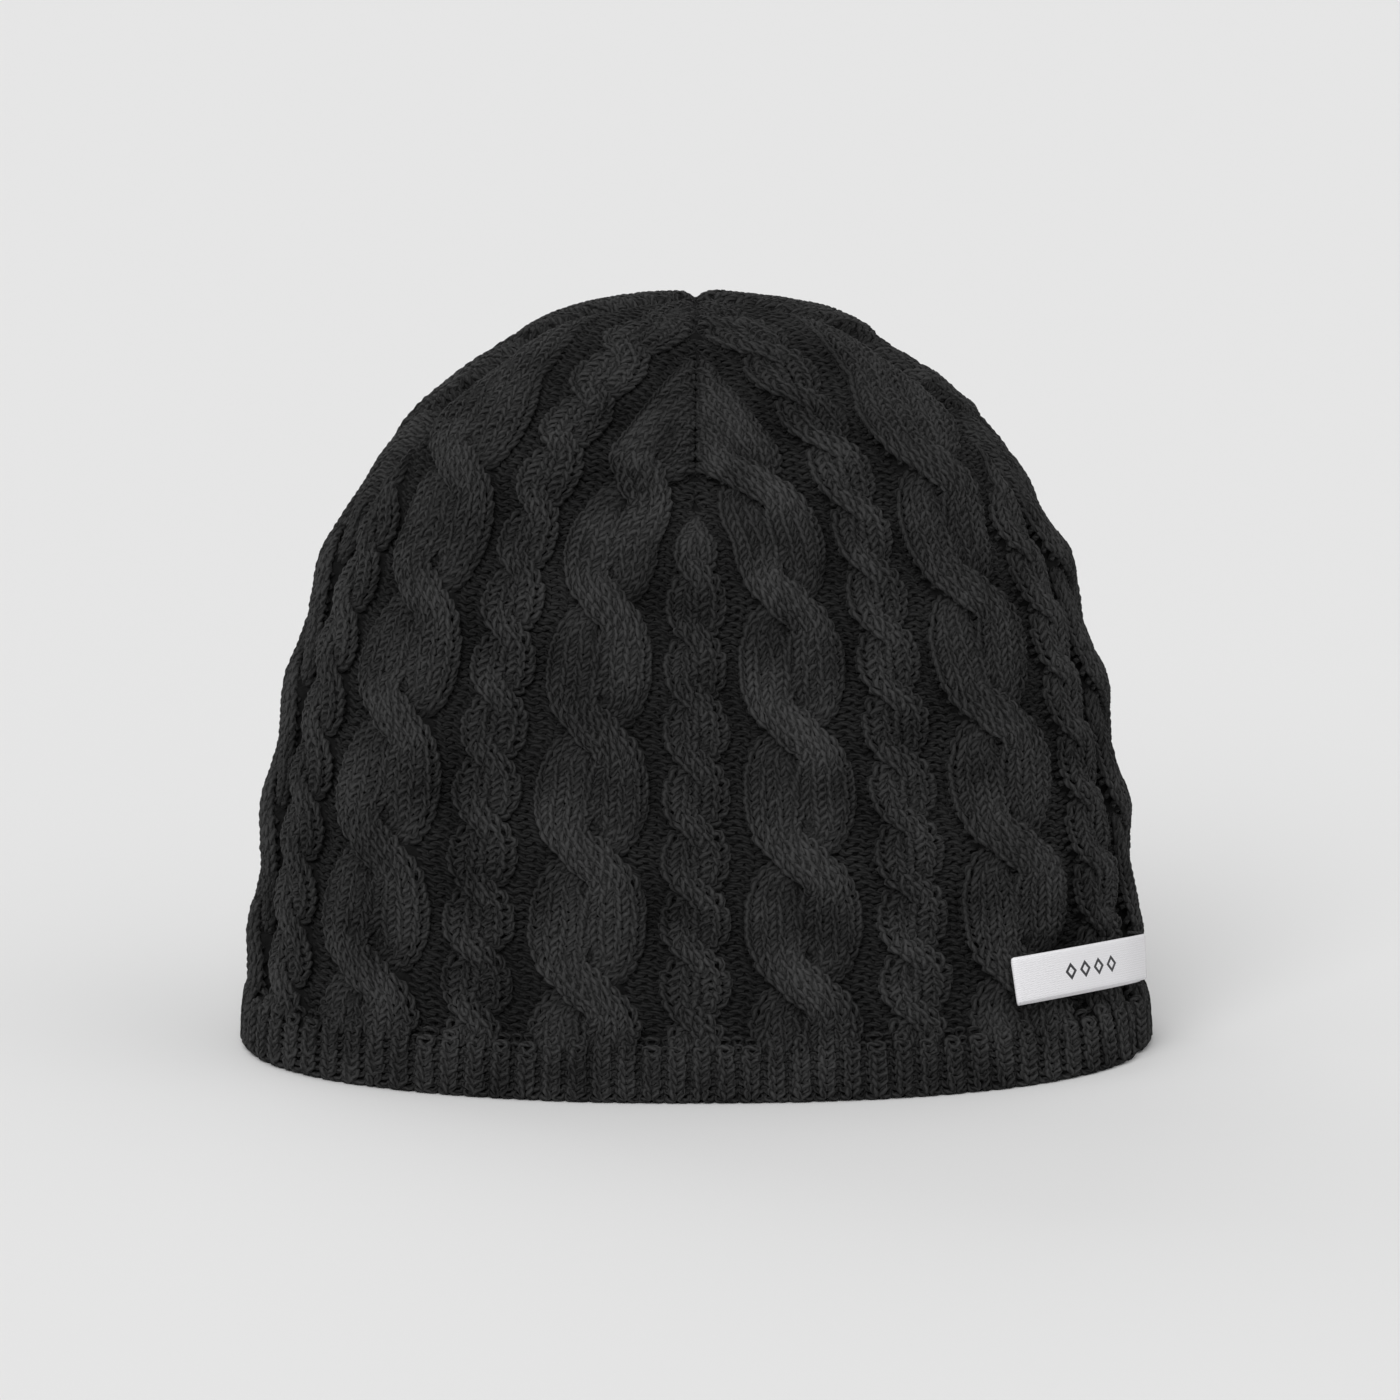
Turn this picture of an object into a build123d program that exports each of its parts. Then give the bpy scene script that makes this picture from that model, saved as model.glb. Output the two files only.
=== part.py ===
"""Cable-knit beanie: one knitted panel closed by a seam, with a darted crown and two sewn-in labels.

Millimetres. The hat stands open end down on its hem. The origin is the centre of the head
opening in the plane of the hem edge, +Z points to the crown, the front faces -Y and the
closing seam with the flag label is on the +X side.

The knit is 6 mm thick over its cables. It is knitted in one, and it is parted here along the
lines that make it up: the rib start, the body tube and the four crown gores between the darts.
"""

import os
from math import cos, hypot, pi, sin

from build123d import *

# Overall form, outside the fabric
HALF_WIDTH = 115.0
HALF_DEPTH = 84.0
HEIGHT = 191.0
SQUARENESS = 2.2            # superellipse exponent of every level section
WIDTH_TAPER = 0.10          # share of the width lost between hem and crown
DEPTH_TAPER = 0.05
CROWN_POWER = 3.0           # the wall leaves the vertical with this power of the height
CROWN_FULLNESS = 0.45       # and closes with this power of what is left

# Fabric and its construction lines
FABRIC = 6.0
RIB_HEIGHT = 13.0
DART_START = 139.0          # height at which the four darts begin
SEAM_WIDTH = 2.8
GAP = 0.1                   # clearance between neighbouring pieces
SIDE_DART = 11.0            # degrees that both side darts sit in front of the X axis
TIE_RADIUS = 6.0
TIE_KNOT_RADIUS = 3.5

# Direction of each dart round the Z axis, in degrees from +X
RIGHT = -SIDE_DART
BACK = 90.0
LEFT = 180.0 + SIDE_DART
FRONT = 270.0

# Labels: a tape folded in half, both raw ends held by a thread on the closing seam
LABEL_STANDOFF = 0.3        # air between the fabric and the tape
LABEL_HOLLOW = 1.0          # air between the two plies
RAW_END = 0.6               # tape beyond the thread
THREAD_RADIUS = 0.4
THREAD_MARGIN = 1.3         # thread beyond the tape, above and below
THREAD_BITE = 2.5           # thread inside the seam
FLAG_PLY = 0.45
FLAG_TAPE = 12.0
FLAG_LENGTH = 55.0
FLAG_BOTTOM = 20.5
CARE_PLY = 0.3
CARE_TAPE = 24.0
CARE_LENGTH = 34.0
CARE_BOTTOM = 30.0

# Working sizes
SECTION_POINTS = 32
LEVELS = (0, 0.1, 0.2, 0.3, 0.4, 0.5, 0.6, 0.7, 0.78, 0.85, 0.9, 0.94, 0.97, 0.988, 0.9965, 0.9997)
MOUTH_OVERRUN = 1.0         # the cavity runs this far below the hem to cut its edge cleanly
REACH = 2 * HALF_WIDTH      # longer than any radius of the hat
LABEL_POINTS = 9
WALK_STEP = 0.25            # degrees walked at a time when measuring along the wall


def half_sizes(level, inset=0.0):
    """Half width and half depth of the level section at this share of the height."""
    closing = (1 - level**CROWN_POWER) ** CROWN_FULLNESS
    half_width = (HALF_WIDTH - inset) * (1 - WIDTH_TAPER * level) * closing
    half_depth = (HALF_DEPTH - inset) * (1 - DEPTH_TAPER * level) * closing
    return half_width, half_depth


def wall_point(degrees, half_width, half_depth):
    """The point of a superellipse in this direction from its centre."""
    x = cos(degrees * pi / 180)
    y = sin(degrees * pi / 180)
    stretch = abs(x / half_width) ** SQUARENESS + abs(y / half_depth) ** SQUARENESS
    radius = stretch ** (-1 / SQUARENESS)
    return radius * x, radius * y


def section_points(half_width, half_depth):
    """Points round one level section, evenly spread in direction."""
    turns = [360 * i / SECTION_POINTS for i in range(SECTION_POINTS)]
    return [wall_point(turn, half_width, half_depth) for turn in turns]


def dome_sections(inset):
    """Height, half width and half depth of each section of a dome set in from the outside."""
    tall = HEIGHT - inset
    return [(level * tall, *half_sizes(level, inset)) for level in LEVELS]


def radial_plane(degrees, height=0.0):
    """A level plane whose X direction points out along a dart."""
    out = (cos(degrees * pi / 180), sin(degrees * pi / 180), 0)
    return Plane(origin=(0, 0, height), x_dir=out, z_dir=(0, 0, 1))


def upright_plane(degrees):
    """An upright plane through the Z axis: its X points out along a dart, its Y is up."""
    out = (cos(degrees * pi / 180), sin(degrees * pi / 180), 0)
    across = (sin(degrees * pi / 180), -cos(degrees * pi / 180), 0)
    return Plane(origin=(0, 0, 0), x_dir=out, z_dir=across)


# --- The fabric as one shell, which the knit pieces are cut from -----------------------------

def dome(sections):
    """The solid through a stack of level sections: height, half width and half depth of each."""
    with BuildPart() as solid:
        for height, wide, deep in sections:
            with BuildSketch(Plane.XY.offset(height)):
                with BuildLine():
                    Spline(*section_points(wide, deep), periodic=True)
                make_face()
        loft()
    return solid


outside = dome(dome_sections(0))
cavity = dome([(-MOUTH_OVERRUN, *half_sizes(0, FABRIC)), *dome_sections(FABRIC)])

with BuildPart() as fabric:
    add(outside.part)
    add(cavity.part, mode=Mode.SUBTRACT)


# --- Rib hem and body tube: both are open along the closing seam -----------------------------

def fabric_band(bottom, top):
    """The band of fabric between two heights, open at the closing seam."""
    with BuildPart() as band:
        with BuildSketch(Plane.XY.offset(bottom)):
            Rectangle(REACH * 2, REACH * 2)
        extrude(amount=top - bottom)
        with BuildSketch(radial_plane(RIGHT, bottom)):
            Rectangle(REACH, SEAM_WIDTH + 2 * GAP, align=(Align.MIN, Align.CENTER))
        extrude(amount=top - bottom, mode=Mode.SUBTRACT)
        add(fabric.part, mode=Mode.INTERSECT)
    return band


rib_hem = fabric_band(0, RIB_HEIGHT)
knit_body = fabric_band(RIB_HEIGHT + GAP, DART_START)


# --- Crown: four gores, the darts that join them and the tie at the top ----------------------

def crown_gore(first, last):
    """The fabric between two dart directions, clear of the seams and of the tie."""
    middle = (first + last) / 2
    corners = [(0, 0)]
    for degrees in (first, middle, last):
        corners.append((REACH * cos(degrees * pi / 180), REACH * sin(degrees * pi / 180)))
    with BuildPart() as gore:
        with BuildSketch(Plane.XY.offset(DART_START + GAP)):
            Polygon(*corners, align=None)
            offset(amount=-(SEAM_WIDTH / 2 + GAP), kind=Kind.INTERSECTION)
            Circle(TIE_RADIUS + GAP, mode=Mode.SUBTRACT)
        extrude(amount=HEIGHT)
        add(fabric.part, mode=Mode.INTERSECT)
    return gore


def seam(degrees, bottom):
    """The joined edges along one dart direction, from this height up to the tie."""
    with BuildPart() as strip:
        with BuildSketch(radial_plane(degrees, bottom)):
            Rectangle(REACH, SEAM_WIDTH, align=(Align.MIN, Align.CENTER))
            Circle(TIE_RADIUS + GAP, mode=Mode.SUBTRACT)
        extrude(amount=HEIGHT)
        add(fabric.part, mode=Mode.INTERSECT)
    return strip


crown_gore_back_right = crown_gore(RIGHT, BACK)
crown_gore_back_left = crown_gore(BACK, LEFT)
crown_gore_front_left = crown_gore(LEFT, FRONT)
crown_gore_front_right = crown_gore(FRONT, RIGHT + 360)

dart_seam_front = seam(FRONT, DART_START + GAP)
dart_seam_back = seam(BACK, DART_START + GAP)
dart_seam_left = seam(LEFT, DART_START + GAP)
closing_seam = seam(RIGHT, 0)

with BuildPart() as crown_tie:
    with BuildSketch(Plane.XY.offset(DART_START)):
        Circle(TIE_RADIUS)
    extrude(amount=HEIGHT)
    add(fabric.part, mode=Mode.INTERSECT)
    with Locations((0, 0, HEIGHT - FABRIC)):
        Sphere(TIE_KNOT_RADIUS)


# --- Labels ----------------------------------------------------------------------------------

def fold_direction(length, wall, outward):
    """The direction in which a tape of this length, laid along the wall from the seam, ends."""
    degrees = RIGHT
    travelled = 0.0
    last = wall_point(degrees, *wall)
    while travelled < length:
        degrees -= WALK_STEP * outward
        point = wall_point(degrees, *wall)
        travelled += hypot(point[0] - last[0], point[1] - last[1])
        last = point
    return degrees


def ply_face(wall, outward, standoff, overhang, length):
    """Points along one face of a ply, from overhang mm behind the seam to the fold."""
    span = wall[0] + outward * standoff, wall[1] + outward * standoff
    start = RIGHT + outward * overhang / span[0] * 180 / pi
    finish = fold_direction(length, span, outward)
    steps = [start + (finish - start) * i / (LABEL_POINTS - 1) for i in range(LABEL_POINTS)]
    return [wall_point(step, *span) for step in steps]


def folded_label(wall, outward, ply, tape, length, bottom):
    """A tape folded in half that follows the wall away from the closing seam.

    wall is the half width and half depth of the fabric surface it lies on. outward is 1 for a
    label on the outside, which runs towards the front, and -1 for one inside, which runs back.
    """
    air = LABEL_STANDOFF + ply
    near = ply_face(wall, outward, LABEL_STANDOFF, RAW_END, length)
    far = ply_face(wall, outward, air + LABEL_HOLLOW + ply, RAW_END, length)
    air_near = ply_face(wall, outward, air, 2 * RAW_END, length)
    air_far = ply_face(wall, outward, air + LABEL_HOLLOW, 2 * RAW_END, length)
    with BuildPart() as label:
        with BuildSketch(Plane.XY.offset(bottom)):
            with BuildLine():
                lower = Spline(*near)
                upper = Spline(*far)
                Line(lower @ 0, upper @ 0)
                TangentArc(lower @ 1, upper @ 1, tangent=lower % 1)
            make_face()
            with BuildLine():
                lower = Spline(*air_near)
                upper = Spline(*air_far)
                Line(lower @ 0, upper @ 0)
                TangentArc(lower @ 1, upper @ 1, tangent=lower % 1)
            make_face(mode=Mode.SUBTRACT)
        extrude(amount=tape)
    return label


def label_thread(wall, outward, ply, tape, bottom):
    """The thread that holds a label's raw ends: upright between the plies, both ends in the seam."""
    standoff = LABEL_STANDOFF + ply + LABEL_HOLLOW / 2
    x, y = wall_point(RIGHT, wall[0] + outward * standoff, wall[1] + outward * standoff)
    reach = hypot(x, y)
    root = reach - outward * (standoff + THREAD_BITE)
    low, high = bottom - THREAD_MARGIN, bottom + tape + THREAD_MARGIN
    with BuildPart() as thread:
        with BuildLine(upright_plane(RIGHT)):
            path = Polyline((root, low), (reach, low), (reach, high), (root, high))
        with BuildSketch(Plane(origin=path @ 0, z_dir=path % 0)):
            Circle(THREAD_RADIUS)
        sweep(transition=Transition.RIGHT)
    return thread


flag_wall = half_sizes(FLAG_BOTTOM / HEIGHT)
flag_label = folded_label(flag_wall, 1, FLAG_PLY, FLAG_TAPE, FLAG_LENGTH, FLAG_BOTTOM)
flag_label_thread = label_thread(flag_wall, 1, FLAG_PLY, FLAG_TAPE, FLAG_BOTTOM)

care_wall = half_sizes((CARE_BOTTOM + CARE_TAPE) / (HEIGHT - FABRIC), FABRIC)
care_label = folded_label(care_wall, -1, CARE_PLY, CARE_TAPE, CARE_LENGTH, CARE_BOTTOM)
care_label_thread = label_thread(care_wall, -1, CARE_PLY, CARE_TAPE, CARE_BOTTOM)


# --- Export ----------------------------------------------------------------------------------

PIECES = {
    "rib_hem": rib_hem,
    "knit_body": knit_body,
    "crown_gore_front_left": crown_gore_front_left,
    "crown_gore_front_right": crown_gore_front_right,
    "crown_gore_back_left": crown_gore_back_left,
    "crown_gore_back_right": crown_gore_back_right,
    "dart_seam_front": dart_seam_front,
    "dart_seam_back": dart_seam_back,
    "dart_seam_left": dart_seam_left,
    "closing_seam": closing_seam,
    "crown_tie": crown_tie,
    "flag_label": flag_label,
    "flag_label_thread": flag_label_thread,
    "care_label": care_label,
    "care_label_thread": care_label_thread,
}

os.makedirs("parts", exist_ok=True)
for name, piece in PIECES.items():
    piece.part.label = name
    export_step(piece.part, f"parts/{name}.step")
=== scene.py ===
"""Looks for the cable-knit beanie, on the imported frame.

Every course of knitting is a tube of yarn that follows its loops round the hat. A place in the
fabric is a wale (a column of loops, counted from the front centre towards +X), a row (counted
up from the hem) and a height off the ground of the knit. Sizes are in millimetres and become
metres when a mesh is made.
"""

import bpy
import numpy as np
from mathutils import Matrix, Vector


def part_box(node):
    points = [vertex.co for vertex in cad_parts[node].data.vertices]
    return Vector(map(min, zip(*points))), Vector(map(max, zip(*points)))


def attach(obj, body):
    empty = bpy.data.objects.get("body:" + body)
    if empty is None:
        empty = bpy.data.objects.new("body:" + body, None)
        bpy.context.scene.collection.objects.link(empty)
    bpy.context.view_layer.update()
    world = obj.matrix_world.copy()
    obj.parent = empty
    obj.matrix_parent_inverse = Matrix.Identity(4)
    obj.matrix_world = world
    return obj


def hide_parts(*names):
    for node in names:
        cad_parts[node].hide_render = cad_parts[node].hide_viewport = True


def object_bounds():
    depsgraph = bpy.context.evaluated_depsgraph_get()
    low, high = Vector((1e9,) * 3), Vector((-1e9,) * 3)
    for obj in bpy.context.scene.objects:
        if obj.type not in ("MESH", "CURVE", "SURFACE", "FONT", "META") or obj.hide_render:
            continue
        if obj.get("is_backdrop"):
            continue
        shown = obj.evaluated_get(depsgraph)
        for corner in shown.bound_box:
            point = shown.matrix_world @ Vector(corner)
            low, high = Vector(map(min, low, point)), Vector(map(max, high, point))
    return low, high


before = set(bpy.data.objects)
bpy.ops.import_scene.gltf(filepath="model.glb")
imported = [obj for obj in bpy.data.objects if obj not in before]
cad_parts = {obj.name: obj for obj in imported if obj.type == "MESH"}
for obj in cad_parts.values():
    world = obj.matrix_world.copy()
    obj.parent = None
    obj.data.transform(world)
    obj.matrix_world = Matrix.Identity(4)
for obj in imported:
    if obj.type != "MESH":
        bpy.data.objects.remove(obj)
cad_low, cad_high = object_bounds()

MM = 0.001
TURN = 2 * np.pi
random = np.random.default_rng(20)

# --- Form of the hat, as the CAD has it ------------------------------------------------------

hem_low, hem_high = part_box("rib_hem")
HALF_WIDTH = (hem_high.x - hem_low.x) / 2 / MM
HALF_DEPTH = (hem_high.y - hem_low.y) / 2 / MM
HEIGHT = cad_high.z / MM
DART_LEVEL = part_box("knit_body")[1].z / MM
SQUARENESS = 2.2
WIDTH_TAPER = 0.10
DEPTH_TAPER = 0.05
CROWN_POWER = 3.0
CROWN_FULLNESS = 0.45

# --- Knit ------------------------------------------------------------------------------------

WALES = 180
QUARTER = WALES / 4
COLUMN = 9                  # wales from the middle of one cable to the middle of the next
ROW = 2.03                  # mm between courses
EDGE = 2.4                  # mm from the hem edge to the middle of the first course
CROWDING = 0.04             # wales sit closer at the front and back than at the sides
SEAM_WALE = 39.5            # the closing seam takes the place of one wale
PETAL_EDGES = np.array([0, SEAM_WALE, WALES / 2, WALES - SEAM_WALE, WALES])
DART_FADE = 1.1             # power of the way left to the crown in the width of a gore
COURSE_SAG = 4.0            # mm that a course bends down towards the darts
SEAM_HALF = 0.15            # wales taken in by a seam on each side
PROMINENT = 5.0             # mm off the ground of the yarn that is painted brightest
SIDE_LEVEL = 2.9            # mm off the ground to which the crown evens out at its side seams
BACK_LEVEL = 3.4            # the same behind those seams
SIDE_EVENING = 0.7          # how fully it evens out at those seams, and below behind them
BACK_EVENING = 0.9
SIDE_REACH = 22             # mm over which that fades away from them, and below behind them
BACK_REACH = 40
CROWN_EVENING = 0.55        # share of its relief that the knit loses on the way to the apex
SEAM_LEVEL = 1.2            # mm off the ground to which all fabric comes down beside a seam

NARROW = 2                  # half the wales of a narrow cable, and below of a wide one
WIDE = 4
WIDE_PERIOD = 16            # rows from one crossing to the next
WIDE_FIRST = 13
NARROW_PERIOD = 8
NARROW_FIRST = 9
RIB_ROWS = 6

SAMPLES = 13                # rings of the tube in one loop
SIDES = 6
KNIT_YARN = 0.82            # radius of the yarn in knit stitches, and below in purl ones
PURL_YARN = 0.60
LOOP_LEAN = 0.26            # how far the legs of a loop lean, in wales
LOOP_REACH = 0.80           # half the height of a loop, in rows
LOOP_DEPTH = 0.45           # how far a loop goes in front of and behind its course
LOOP_TUCK = 0.14            # how far the head of a loop sits behind its feet

GROUND = -5.4               # mm from the outside of the CAD to the middle of the purl ground
RIB_RISE = 4.1              # mm that the rib stands off the ground, and its relief
RIB_RELIEF = 1.1
RIB_SPREAD = 0.13           # wales by which the knit ribs crowd the purl ones
RIB_SHADE = 0.15            # share of its prominence that the rib loses, so the rib is painted a little darker
TURNING = 0.85              # how fully the courses of a strand turn square to it, 0 to 1
LONGEST_STEP = 2.4          # mm; where a course jumps further it dives under and starts again
DIVE = np.array([1.1, 0.6, 0.3])    # mm that it dives at each ring from the break
TUCKED_UNDER = 0.85         # wales of the ground that lie under the edge of a cable
STRAND_OVERLAP = 0.6        # wales by which the strands of a cable overlap


def closing(level):
    return (1 - level**CROWN_POWER) ** CROWN_FULLNESS


def half_width(level):
    return HALF_WIDTH * (1 - WIDTH_TAPER * level) * closing(level)


def half_depth(level):
    return HALF_DEPTH * (1 - DEPTH_TAPER * level) * closing(level)


def unit_section(direction):
    """The level section as shares of its half width and half depth. Direction 0 is the front."""
    x, y = np.sin(direction), -np.cos(direction)
    stretch = abs(x / HALF_WIDTH) ** SQUARENESS + abs(y / HALF_DEPTH) ** SQUARENESS
    radius = stretch ** (-1 / SQUARENESS)
    return radius * x / HALF_WIDTH, radius * y / HALF_DEPTH


def table_of_directions():
    """Share of the way round the hem for each direction."""
    directions = np.linspace(0, TURN, 7201)
    x, y = unit_section(directions)
    steps = np.hypot(np.diff(x * HALF_WIDTH), np.diff(y * HALF_DEPTH))
    travelled = np.concatenate([[0], np.cumsum(steps)])
    return travelled / travelled[-1], directions, travelled[-1]


def table_of_levels():
    """Distance along the wall from the hem for each level, on a mean of front and side."""
    levels = 1 - np.linspace(1, 0, 4001)[:-1] ** 2.2
    radius = (half_width(levels) + half_depth(levels)) / 2
    steps = np.hypot(np.diff(radius), np.diff(levels * HEIGHT))
    return np.concatenate([[0], np.cumsum(steps)]), levels


ROUND_SHARES, ROUND_DIRECTIONS, HEM_LENGTH = table_of_directions()
WALL_DISTANCES, WALL_LEVELS = table_of_levels()
WALL_LENGTH = WALL_DISTANCES[-1]
WALE = HEM_LENGTH / WALES
DART_DISTANCE = np.interp(DART_LEVEL / HEIGHT, WALL_LEVELS, WALL_DISTANCES)
DART_ROW = (DART_DISTANCE - EDGE) / ROW
RING_DISTANCE = WALL_LENGTH - 4.0
LAST_ROW = int((RING_DISTANCE - EDGE) / ROW)


def place(wale, distance, out):
    """Point and outward normal on the hat, out mm outside the CAD's outer face."""
    quarters = wale / QUARTER
    share = (quarters - CROWDING * np.sin(np.pi * quarters)) / 4 % 1
    x, y = unit_section(np.interp(share, ROUND_SHARES, ROUND_DIRECTIONS))
    level = np.interp(distance, WALL_DISTANCES, WALL_LEVELS)
    wide, deep = half_width(level), half_depth(level)
    shrink = CROWN_FULLNESS * CROWN_POWER * level ** (CROWN_POWER - 1) / (1 - level**CROWN_POWER)
    wide_slope = WIDTH_TAPER / (1 - WIDTH_TAPER * level) + shrink
    deep_slope = DEPTH_TAPER / (1 - DEPTH_TAPER * level) + shrink
    x_part, y_part = abs(x) ** (SQUARENESS - 1), abs(y) ** (SQUARENESS - 1)
    up = (x_part * abs(x) * wide_slope + y_part * abs(y) * deep_slope) / HEIGHT
    normal = np.stack([np.sign(x) * x_part / wide, np.sign(y) * y_part / deep, up], axis=-1)
    normal /= np.linalg.norm(normal, axis=-1, keepdims=True)
    point = np.stack([x * wide, y * deep, level * HEIGHT], axis=-1)
    return point + normal * out[..., None], normal


def smooth_step(value, low, high):
    share = np.clip((value - low) / (high - low), 0, 1)
    return share * share * (3 - 2 * share)


def gore_of(wale):
    """Middle and half width, in wales, of the gore that a wale runs up into."""
    index = np.clip(np.searchsorted(PETAL_EDGES, wale % WALES, side="right") - 1, 0, 3)
    low, high = PETAL_EDGES[index], PETAL_EDGES[index + 1]
    return (low + high) / 2 + (wale - wale % WALES), (high - low) / 2


def gore_width(distance):
    """Share of its wales that a gore still has at this distance up the wall."""
    left = (WALL_LENGTH - distance) / (WALL_LENGTH - DART_DISTANCE)
    return np.clip(left, 1e-4, 1) ** DART_FADE


# --- Cables ----------------------------------------------------------------------------------

def by_size(column, wide, narrow):
    return np.where(column % 2 == 1, wide, narrow)


def cable_half(column):
    return by_size(column, WIDE, NARROW)


def rows_from_crossing(column, row):
    """Rows above the nearest crossing of this column's cable."""
    period = by_size(column, WIDE_PERIOD, NARROW_PERIOD)
    first = by_size(column, WIDE_FIRST, NARROW_FIRST)
    return (row - first + period / 2) % period - period / 2


def swing(column, rows):
    """-1 to 1 as a strand passes the crossing, its slope per row, and how far it is crossing."""
    reach = by_size(column, 4.1, 2.4)
    share = np.clip(rows / reach, -1, 1)
    value = 1.5 * share - 0.5 * share**3
    return value, 1.5 / reach * (1 - share**2), 1 - value**2


def cable_strength(column, row):
    """1 where a cable crosses freely, 0 where a dart takes it in."""
    middle, half = gore_of(column * COLUMN + 0.01)
    width = gore_width(EDGE + row * ROW)
    room = half * width - abs(column * COLUMN - middle) - cable_half(column)
    inside = np.where(row < DART_ROW, 1.0, np.clip((room + 2) / 3, 0, 1))
    on_dart = (column % 10) == 0
    ending = np.clip((DART_ROW - row) / 4, 0, 1)
    return np.where(on_dart, ending, inside) * smooth_step(row, RIB_ROWS - 1, RIB_ROWS + 2)


def cable_edge(column, rows, strength):
    """Half width of a cable, which draws in at its crossings and bulges between them."""
    fullest, waist = by_size(column, 4.45, 2.6), by_size(column, 3.05, 1.75)
    reach = by_size(column, 6.6, 3.5)
    drawn = np.cos(np.pi / 2 * np.clip(rows / reach, -1, 1)) ** 2
    edge = fullest - (fullest - waist) * drawn
    return cable_half(column) * (1 - strength) + edge * strength


def strand_height(column, within):
    """Rounded section of one strand, -1 to 1 across."""
    crest = by_size(column, 4.1, 3.6)
    return crest * (0.34 + 0.66 * np.sqrt(1 - 0.92 * np.clip(within, -1, 1) ** 2))


def body_knit(stitch, wale, row, lift_rows):
    """How samples of body fabric lie, as a dict of arrays.

    stitch is each sample's whole wale number, wale its place before any cable moves it, row
    its course and lift_rows its place above or below the middle of the course. moved is its
    wale, tilt its extra rows, height its rise off the ground and facing 1 for knit and -1 for
    purl. A loop's lean counts stretch times towards moved and lean_tilt times towards tilt.
    """
    left = np.floor((stitch + 0.5) / COLUMN)
    offset = stitch + 0.5 - left * COLUMN
    in_left = offset < cable_half(left)
    in_right = COLUMN - offset < cable_half(left + 1)
    knit = in_left | in_right
    column = np.where(in_right, left + 1, left)
    side = np.where(in_right, -1.0, 1.0)
    half = cable_half(column)
    rows = rows_from_crossing(column, row)
    over = (rows < 0) == (side > 0)
    direction = np.where(over, -1.0, 1.0)
    value, slope, crossing = swing(column, rows + lift_rows)
    strength = cable_strength(column, row)
    edge = cable_edge(column, rows + lift_rows, strength)
    arm = by_size(column, 2.22, 1.3)
    centre = direction * arm * value
    within = (wale - column * COLUMN) / (half / 2) - side
    steep = -direction * arm * slope * 0.9 * WALE / ROW
    reach = edge - abs(centre) + STRAND_OVERLAP * np.exp(-(((abs(value) - 0.85) / 0.25) ** 2))
    square = TURNING / (1 + steep**2)
    across = reach * (1 - steep**2 * square)
    risen = reach * 0.9 * WALE / ROW * steep * square
    crossed = centre + within * across
    plain = side * half / 2 + within * half / 2
    moved = column * COLUMN + crossed * strength + plain * (1 - strength)
    tilt = risen * within * strength
    period = by_size(column, WIDE_PERIOD, NARROW_PERIOD)
    wave = np.cos(np.pi * (rows + lift_rows) / period) + 0.35 * crossing
    rise = by_size(column, 1.35, 0.95) * wave * np.where(over, 1.0, -1.0)
    cable_height = strand_height(column, within) + rise * strength

    right = left + 1
    near = cable_edge(left, rows_from_crossing(left, row) + lift_rows, cable_strength(left, row))
    far = cable_edge(right, rows_from_crossing(right, row) + lift_rows, cable_strength(right, row))
    near, far = near - TUCKED_UNDER, far - TUCKED_UNDER
    start, stop = cable_half(left), COLUMN - cable_half(right)
    share = (wale - left * COLUMN - start) / (stop - start)
    gutter = left * COLUMN + near + share * (COLUMN - far - near)
    strand_stretch = 1 + (across / (half / 2) - 1) * strength
    gutter_stretch = (COLUMN - far - near) / (stop - start)
    return {
        "moved": np.where(knit, moved, gutter),
        "tilt": np.where(knit, tilt, 0.0),
        "height": np.where(knit, cable_height, 0.0),
        "facing": np.where(knit, 1.0, -1.0),
        "stretch": np.where(knit, strand_stretch, gutter_stretch),
        "lean_tilt": np.where(knit, risen / (half / 2) * strength, 0.0),
        "swell": np.where(knit, 1 + 0.16 * crossing * strength, 1.0),
    }


def rib_knit(stitch, wale):
    """The same for the 1 by 1 rib of the hem: every other wale stands forward."""
    phase = np.pi * (wale - 0.5)
    moved = wale + RIB_SPREAD * np.sin(phase)
    height = RIB_RISE + RIB_RELIEF * np.cos(phase)
    facing = np.where(stitch % 2 == 0, 1.0, -1.0)
    return moved, height, facing, 1 + RIB_SPREAD * np.pi * facing


def eased(values, segments, reach=2):
    """A running mean along each segment of a course, which eases its steps."""
    kernel = np.ones(2 * reach + 1) / (2 * reach + 1)
    parts = [np.pad(values[part], reach, mode="edge") for part in segments]
    return np.concatenate([np.convolve(part, kernel, mode="valid") for part in parts])


def drawn_in(height, wale, distance, middle, half):
    """Height of fabric as its seams draw it in, and how far of that it dips, in mm."""
    level = np.interp(distance, WALL_DISTANCES, WALL_LEVELS)
    pitch = WALE * half_width(level) / HALF_WIDTH
    spread = (wale - middle) / half
    dart = smooth_step(distance, DART_DISTANCE - 3, DART_DISTANCE + 10)
    at_top = 1 - 0.95 * smooth_step(distance, WALL_LENGTH - 55, WALL_LENGTH - 20)
    dip = 0.0
    for end in (-1, 1):
        is_closing_seam = abs((middle + end * half) % WALES - SEAM_WALE) < 0.1
        share = np.where(is_closing_seam, 0.5 + 0.5 * dart, dart)
        away = (1 - end * spread) * half * pitch
        beside = share * np.exp(-((away / 2.4) ** 2))
        height = height + beside * (SEAM_LEVEL - height)
        crease = 0.9 * np.exp(-((away / 1.1) ** 2))
        hollow = 0.8 * np.exp(-((away / 4.5) ** 2))
        dip = dip + share * at_top * (crease + hollow)
    return height - dip, dip


# How often each wave comes back, per wale and per row, and its phase.
WAVES = [
    (random.uniform(0.03, 0.16), random.uniform(0.02, 0.14), random.uniform(0, TURN))
    for _ in range(9)
]


def waviness(wale, row, first):
    """Slow unevenness of the fabric, about -1 to 1."""
    total = 0.0
    for across, up, phase in WAVES[first::3]:
        total = total + np.sin(across * wale * 2 + up * row * 3 + phase)
    return total / 3


STITCH_NOISE = random.normal(0, 1, (6, 140, WALES))


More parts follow.
